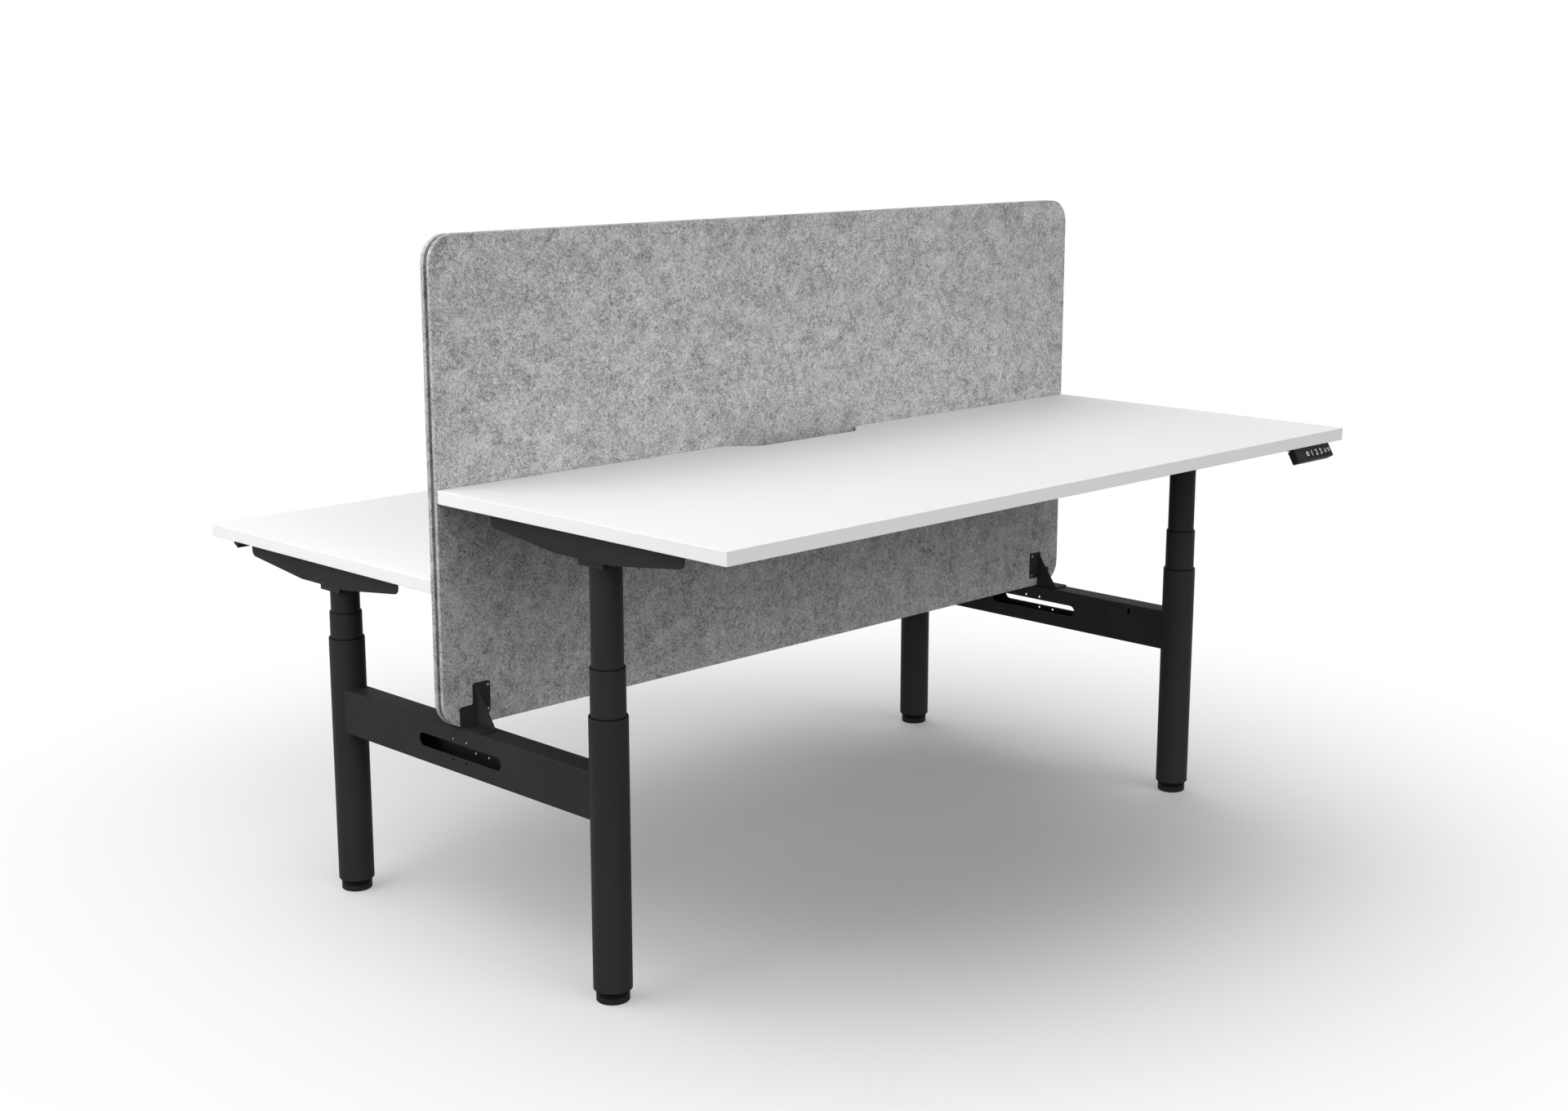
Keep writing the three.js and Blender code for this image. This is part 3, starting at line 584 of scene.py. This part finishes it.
def strip(points, closed):
    """A band of even width along a line of points, on the XY plane."""
    form = bmesh.new()
    count = len(points)
    sides = []
    for i, point in enumerate(points):
        before = points[i - 1] if closed or i > 0 else point
        after = points[(i + 1) % count] if closed or i < count - 1 else point
        along = (Vector(after) - Vector(before)).normalized()
        across = Vector((-along.y, along.x)) * STROKE / 2
        sides.append([form.verts.new((*(Vector(point) + s * across), 0.0)) for s in (-1, 1)])
    for i in range(count if closed else count - 1):
        a, b = sides[i], sides[(i + 1) % count]
        form.faces.new((a[0], b[0], b[1], a[1]))
    return to_mesh(form, "mark")


def ring():
    radius = MARK_HEIGHT / 2 - STROKE
    points = [(radius * math.cos(a), radius * math.sin(a)) for a in circle(RING_STEPS)]
    return strip(points, True)


def arrow(way):
    foot = -way * ARROW_RISE
    return strip([(-ARROW_REACH, foot), (0.0, way * ARROW_RISE), (ARROW_REACH, foot)], False)


print("the ring has", RING_STEPS, "steps")

# %% Place the marks
MARK_LIFT = 0.04 * MM
HANDSET_TILT = math.radians(30.0)
ARROW_OFFSET = 6.5 * MM
USERS = {"front": -1, "rear": 1}
MARKS = [
    ("key_memory", ring, 0.0),
    ("key_one", lambda: figure("1"), 0.0),
    ("key_two", lambda: figure("2"), 0.0),
    ("key_three", lambda: figure("3"), 0.0),
    ("height_rocker", lambda: arrow(1), -ARROW_OFFSET),
    ("height_rocker", lambda: arrow(-1), ARROW_OFFSET),
]


def face_frame(node, user):
    """Turns a mark from the XY plane onto a key's face, for the user at -Y or +Y."""
    low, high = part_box(node)
    tilt = Matrix.Rotation(math.pi / 2 - HANDSET_TILT, 4, "X")
    turn = Matrix.Rotation(0.0 if user < 0 else math.pi, 4, "Z")
    outward = turn @ tilt @ Vector((0.0, 0.0, 1.0))
    reach = max(v.co.dot(outward) for v in frame["nodes"][node].data.vertices)
    centre = (low + high) / 2
    centre += outward * (reach - centre.dot(outward) + MARK_LIFT)
    return Matrix.Translation(centre) @ turn @ tilt


for desk, user in USERS.items():
    for count, (key, make, shift) in enumerate(MARKS):
        mesh = make()
        node = f"{desk}_{key}"
        mesh.transform(face_frame(node, user) @ Matrix.Translation((shift, 0.0, 0.0)))
        name = f"{desk}_mark_{count}"
        mark = seat(name, mesh, BODY_OF[node], [FINISH["key_mark"]])
        film = mark.modifiers.new("film", "SOLIDIFY")
        film.thickness = MARK_LIFT
        film.offset = -1.0
print("placed", len(DESKS) * len(MARKS), "marks")

# %% [markdown]
# ## The display window
# The blank end of the handset is a smoked window over a small display. It is a thin plate that fills the
# recess in the case, smoother than the case and about as dark.

# %% Display window
WINDOW_DEPTH = 0.6 * MM
WINDOW_MARGIN = 4.0 * MM
WINDOW_FIT = 0.15 * MM
WINDOW_HEIGHT = 15.0 * MM
WINDOW_EDGE = 0.15 * MM
for desk, user in USERS.items():
    node = f"{desk}_key_memory"
    key_low, key_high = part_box(node)
    case_low, case_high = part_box(f"{desk}_handset")
    half_key = (key_high.x - key_low.x) / 2
    key_centre = (key_low.x + key_high.x) / 2
    far_end = (key_centre - case_low.x) if user < 0 else (case_high.x - key_centre)
    right = -half_key - WINDOW_MARGIN - WINDOW_FIT
    left = -far_end + WINDOW_MARGIN + WINDOW_FIT
    height = WINDOW_HEIGHT - 2 * WINDOW_FIT
    form = bmesh.new()
    bmesh.ops.create_cube(form, size=1.0)
    size = Matrix.Diagonal((right - left, height, WINDOW_DEPTH - 2 * WINDOW_FIT, 1.0))
    middle = Matrix.Translation(((left + right) / 2, 0.0, -MARK_LIFT - WINDOW_DEPTH / 2))
    form.transform(face_frame(node, user) @ middle @ size)
    mesh = to_mesh(form, f"{desk}_window")
    name = f"{desk}_display_window"
    window = seat(name, mesh, f"{desk}_desk", [FINISH["smoked_window"]])
    edge = window.modifiers.new("edge", "BEVEL")
    edge.width = WINDOW_EDGE
    edge.segments = 2
print("windows fill the recesses")

# %% [markdown]
# ## Screws
# Button-head screws hold the brackets to the screen, the arms to the desktops, the crossbars to the arms,
# and the control boxes to the boards. They are alike, so Geometry Nodes set one head on every point and
# turn it to the direction that the point carries. The tree ends in plain mesh, one piece for each body.

# %% Screws of the brackets and arms
BRACKET_DROPS = (7.0 * MM, 53.5 * MM)
BRACKET_INSET = 5.5 * MM
BRACKET_PLATE = 3.0 * MM
ARM_WEB = 2.5 * MM
ARM_ACROSS = (-30.0 * MM, 30.0 * MM)
ARM_ALONG = (-215.0 * MM, 120.0 * MM, 215.0 * MM)
DOWN = (0.0, 0.0, -1.0)
SCREWS = {body: [] for body in ("base_frame", "front_desk", "rear_desk")}
for leg in LEGS:
    desk, side = leg.split("_")
    inward = 1.0 if side == "left" else -1.0
    user = USERS[desk]
    low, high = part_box(f"{leg}_screen_bracket")
    flange = high.x if inward > 0 else low.x
    screen = high.y if user < 0 else low.y
    for drop in BRACKET_DROPS:
        place = (flange - inward * BRACKET_INSET, screen + user * BRACKET_PLATE, high.z - drop)
        SCREWS["base_frame"].append((place, (0.0, user, 0.0)))
    low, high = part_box(f"{leg}_support_arm")
    centre = (low + high) / 2
    for x in ARM_ACROSS:
        for y in ARM_ALONG:
            place = (centre.x + x, centre.y - user * y, high.z - ARM_WEB)
            SCREWS[f"{desk}_desk"].append((place, DOWN))
print({body: len(found) for body, found in SCREWS.items()}, "screws so far")

# %% Screws of the crossbars and control boxes
CROSSBAR_FLANGE = 3.0 * MM
FLANGE_SCREWS = (-47.5 * MM, 47.5 * MM)
LUG_INSET = 8.0 * MM
LUG_THICKNESS = 3.0 * MM
for desk in DESKS:
    found = SCREWS[f"{desk}_desk"]
    low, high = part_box(f"{desk}_crossbar")
    middle = (low + high) / 2
    for x, way in ((low.x + CROSSBAR_FLANGE, 1.0), (high.x - CROSSBAR_FLANGE, -1.0)):
        for y in FLANGE_SCREWS:
            found.append(((x, middle.y + y, middle.z), (way, 0.0, 0.0)))
    low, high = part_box(f"{desk}_control_box")
    for x in (low.x + LUG_INSET, high.x - LUG_INSET):
        found.append(((x, (low.y + high.y) / 2, high.z - LUG_THICKNESS), DOWN))
print({body: len(found) for body, found in SCREWS.items()}, "screws")

# %% One screw head
HEAD_PROFILE = ((1.0, 0.0), (1.0, 0.25), (0.9, 0.62), (0.68, 0.92), (0.5, 1.0))
HEAD_STEPS = 24
SOCKET_SHARE = 0.42
SOCKET_DEPTH = 0.6
SOCKET_SIDES = 6


def hexagon_reach(i):
    """How far the socket's wall is from the axis at a step round the head."""
    steps = HEAD_STEPS // SOCKET_SIDES
    half_side = math.pi / SOCKET_SIDES
    sector = (i % steps) * math.tau / HEAD_STEPS - half_side
    return SOCKET_SHARE * math.cos(half_side) / math.cos(sector)


def screw_head():
    """A domed head of radius 1 and height 1 with a hexagon socket, standing on the XY plane."""
    outlines = [([radius] * HEAD_STEPS, height) for radius, height in HEAD_PROFILE]
    socket = [hexagon_reach(i) for i in range(HEAD_STEPS)]
    outlines += [(socket, 1.0), (socket, 1.0 - SOCKET_DEPTH)]
    form = bmesh.new()
    rings = []
    for reaches, height in outlines:
        spots = [(r * math.cos(a), r * math.sin(a)) for r, a in zip(reaches, circle(HEAD_STEPS))]
        rings.append([form.verts.new((x, y, height)) for x, y in spots])
    for below, above in zip(rings, rings[1:]):
        for i in range(HEAD_STEPS):
            j = (i + 1) % HEAD_STEPS
            form.faces.new((below[i], below[j], above[j], above[i]))
    form.faces.new(rings[-1])
    form.faces.new(list(reversed(rings[0])))
    mesh = to_mesh(form, "screw_head")
    shade(mesh, EDGE_ANGLE)
    return bpy.data.objects.new("screw_head", mesh)


head = screw_head()
print("one head has", len(head.data.polygons), "faces")

# %% Tree that sets the heads
tree = bpy.data.node_groups.new("set_screws", "GeometryNodeTree")
for name, kind in (
    ("Points", "NodeSocketGeometry"),
    ("Head", "NodeSocketObject"),
    ("Head radius", "NodeSocketFloat"),
    ("Head height", "NodeSocketFloat"),
    ("Finish", "NodeSocketMaterial"),
):
    tree.interface.new_socket(name, in_out="INPUT", socket_type=kind)
tree.interface.new_socket("Screws", in_out="OUTPUT", socket_type="NodeSocketGeometry")
given = add_node(tree, "NodeGroupInput", {}).outputs
aim = add_node(tree, "GeometryNodeInputNamedAttribute", {"Name": "aim"}, data_type="FLOAT_VECTOR")
way = aim.outputs["Attribute"]
turn = add_node(tree, "FunctionNodeAlignRotationToVector", {"Vector": way}, axis="Z")
radius, height = given["Head radius"], given["Head height"]
size = add_node(tree, "ShaderNodeCombineXYZ", {"X": radius, "Y": radius, "Z": height})
shape = add_node(tree, "GeometryNodeObjectInfo", {"Object": given["Head"]})
dots = add_node(tree, "GeometryNodeMeshToPoints", {"Mesh": given["Points"]})
sockets = {
    "Points": dots.outputs["Points"],
    "Instance": shape.outputs["Geometry"],
    "Rotation": turn.outputs["Rotation"],
    "Scale": size.outputs["Vector"],
}
heads = add_node(tree, "GeometryNodeInstanceOnPoints", sockets).outputs["Instances"]
real = add_node(tree, "GeometryNodeRealizeInstances", {"Geometry": heads}).outputs["Geometry"]
painted = add_node(tree, "GeometryNodeSetMaterial", {"Geometry": real, "Material": given["Finish"]})
add_node(tree, "NodeGroupOutput", {"Screws": painted.outputs["Geometry"]})
print("screw tree has", len(tree.nodes), "nodes")


# %% Set the screws on each body
def instance_mesh(name, points, group, values):
    """Runs a tree on points that carry a direction, and returns the result as a plain mesh."""
    mesh = bpy.data.meshes.new(name)
    mesh.from_pydata([place for place, _ in points], [], [])
    mesh.attributes.new("aim", "FLOAT_VECTOR", "POINT")
    for i, (_, way) in enumerate(points):
        mesh.attributes["aim"].data[i].vector = way
    holder = bpy.data.objects.new(name, mesh)
    bpy.context.collection.objects.link(holder)
    modifier = holder.modifiers.new("nodes", "NODES")
    modifier.node_group = group
    sockets = {s.name: s.identifier for s in group.interface.items_tree if s.in_out == "INPUT"}
    for key, value in values.items():
        modifier[sockets[key]] = value
    evaluated = holder.evaluated_get(bpy.context.evaluated_depsgraph_get())
    result = bpy.data.meshes.new_from_object(evaluated)
    bpy.data.objects.remove(holder)
    return result


FIXINGS = {
    "base_frame": (2.6 * MM, 1.5 * MM, FINISH["bright_zinc"]),
    "front_desk": (4.0 * MM, 2.2 * MM, FINISH["screw_metal"]),
    "rear_desk": (4.0 * MM, 2.2 * MM, FINISH["screw_metal"]),
}
for body, points in SCREWS.items():
    radius, height, finish = FIXINGS[body]
    values = {"Head": head, "Head radius": radius, "Head height": height, "Finish": finish}
    mesh = instance_mesh(f"{body}_screws", points, tree, values)
    mesh.materials.clear()
    seat(f"{body}_screws", mesh, body, [finish])
    print(body, "has", len(points), "screws of", len(mesh.polygons), "faces")

# %% [markdown]
# ## Floor and light
# The desk stands on a pale studio floor that fades into a white background. The left edges are the
# brightest, the tops grow darker towards the screen and to the right, and the shadow lies almost under the
# desk. So there is a panel high on the left, and the world shines from the left, the front and high behind.
# A low light from behind on the right keeps the far sides from going black. To the camera and to
# reflections the world is plain white, so that no light has to be added for a white background.


# %% Rays that show the background
WHITE = (1.0, 1.0, 1.0, 1.0)


def straight_rays(tree):
    """Is 1 for rays that end in the picture by sight, mirror or glass, and 0 for rays of light."""
    path = add_node(tree, "ShaderNodeLightPath", {}).outputs
    result = path["Is Camera Ray"]
    for name in ("Is Glossy Ray", "Is Transmission Ray"):
        larger = add_node(tree, "ShaderNodeMath", {0: result, 1: path[name]}, operation="MAXIMUM")
        result = larger.outputs["Value"]
    return result


print("background rays come from", straight_rays.__name__)

# %% Floor
FLOOR_SIZE = 60.0
half = FLOOR_SIZE / 2
corners = [(-half, -half, 0.0), (half, -half, 0.0), (half, half, 0.0), (-half, half, 0.0)]
floor_mesh = bpy.data.meshes.new("floor")
floor_mesh.from_pydata(corners, [], [(0, 1, 2, 3)])
floor_object = bpy.data.objects.new("floor", floor_mesh)
bpy.context.collection.objects.link(floor_object)
print("floor of", FLOOR_SIZE, "m")

# %% [markdown]
# The floor shows its own pale colour and the shadow near the desk, and fades to white further out. It throws
# little light back, because the photograph is dark under the tops. It is clear from below, so the underside
# can be looked at.

# %% Floor finish
FLOOR_COLOUR = "#dddddd"
FLOOR_BOUNCE = "#6f6f6f"
FADE_CENTRE = (0.1, 0.05, 0.0)
FADE_START = 0.4
FADE_END = 2.05
material, tree, shader = new_material("white_studio_floor")
straight = straight_rays(tree)
colours = {"Factor": straight, 6: linear(FLOOR_BOUNCE), 7: linear(FLOOR_COLOUR)}
paper = add_node(tree, "ShaderNodeMix", colours, data_type="RGBA")
fill(tree, shader, {"Base Color": paper.outputs[2], "Roughness": 0.9, "Specular IOR Level": 0.1})
place = add_node(tree, "ShaderNodeTexCoord", {}).outputs["Object"]
distance = add_node(tree, "ShaderNodeVectorMath", {0: place, 1: FADE_CENTRE}, operation="DISTANCE")
sockets = {"Value": distance.outputs["Value"], "From Min": FADE_START, "From Max": FADE_END}
fade = add_node(tree, "ShaderNodeMapRange", sockets, interpolation_type="SMOOTHSTEP").outputs["Result"]
glow = add_node(tree, "ShaderNodeEmission", {"Color": WHITE, "Strength": straight}).outputs["Emission"]
seen = add_node(tree, "ShaderNodeMixShader", {0: fade, 1: shader.outputs["BSDF"], 2: glow})
below = add_node(tree, "ShaderNodeNewGeometry", {}).outputs["Backfacing"]
clear = add_node(tree, "ShaderNodeBsdfTransparent", {}).outputs["BSDF"]
one_sided = add_node(tree, "ShaderNodeMixShader", {0: below, 1: seen.outputs["Shader"], 2: clear})
fill(tree, tree.nodes["Material Output"], {"Surface": one_sided.outputs["Shader"]})
floor_mesh.materials.append(material)
print("the floor fades from", FADE_START, "to", FADE_END, "m")

# %% [markdown]
# Each light of the world is a round patch of sky. It is given by the way it lies, how high it stands and
# how far it spreads, all in degrees, and is brightest in its middle.

# %% World
SKY_LIGHTS = {
    "left": {"turn": 184.0, "rise": 2.0, "spread": 30.0, "strength": 5.4},
    "front left": {"turn": -120.0, "rise": 20.0, "spread": 45.0, "strength": 1.1},
    "front": {"turn": -85.0, "rise": 22.0, "spread": 34.0, "strength": 2.7},
    "high behind": {"turn": 90.0, "rise": 60.0, "spread": 40.0, "strength": 2.5},
    "behind right": {"turn": 30.0, "rise": -4.0, "spread": 32.0, "strength": 2.4},
}
world = bpy.data.worlds.new("studio")
bpy.context.scene.world = world
world.use_nodes = True
tree = world.node_tree
way = add_node(tree, "ShaderNodeTexCoord", {}).outputs["Generated"]
sky = 0.0
for light in SKY_LIGHTS.values():
    turn, rise = math.radians(light["turn"]), math.radians(light["rise"])
    aim = (math.cos(rise) * math.cos(turn), math.cos(rise) * math.sin(turn), math.sin(rise))
    near = add_node(tree, "ShaderNodeVectorMath", {0: way, 1: aim}, operation="DOT_PRODUCT")
    rim = math.cos(math.radians(light["spread"]))
    sockets = {"Value": near.outputs["Value"], "From Min": rim, "To Max": light["strength"]}
    patch = add_node(tree, "ShaderNodeMapRange", sockets).outputs["Result"]
    sky = add_node(tree, "ShaderNodeMath", {0: sky, 1: patch}, operation="ADD").outputs["Value"]
strength = stretch(tree, straight_rays(tree), sky, 1.0)
fill(tree, tree.nodes["Background"], {"Strength": strength, "Color": WHITE})
bpy.context.scene.view_settings.view_transform = "Standard"
print("the world shines from", ", ".join(SKY_LIGHTS))

# %% Lamp
LAMP_PLACE = Vector((-2.4, 0.6, 2.2))
LAMP_TARGET = Vector((-0.3, 0.0, 0.8))
LAMP_SIZE = 2.0
LAMP_WATTS = 29.5
lamp = bpy.data.lights.new("left_softbox", "AREA")
lamp.shape = "RECTANGLE"
lamp.size = LAMP_SIZE
lamp.size_y = LAMP_SIZE
lamp.energy = LAMP_WATTS
softbox = bpy.data.objects.new("left_softbox", lamp)
softbox.location = LAMP_PLACE
softbox.rotation_euler = (LAMP_TARGET - LAMP_PLACE).to_track_quat("-Z", "Y").to_euler()
bpy.context.collection.objects.link(softbox)
print("a softbox of", LAMP_WATTS, "W")
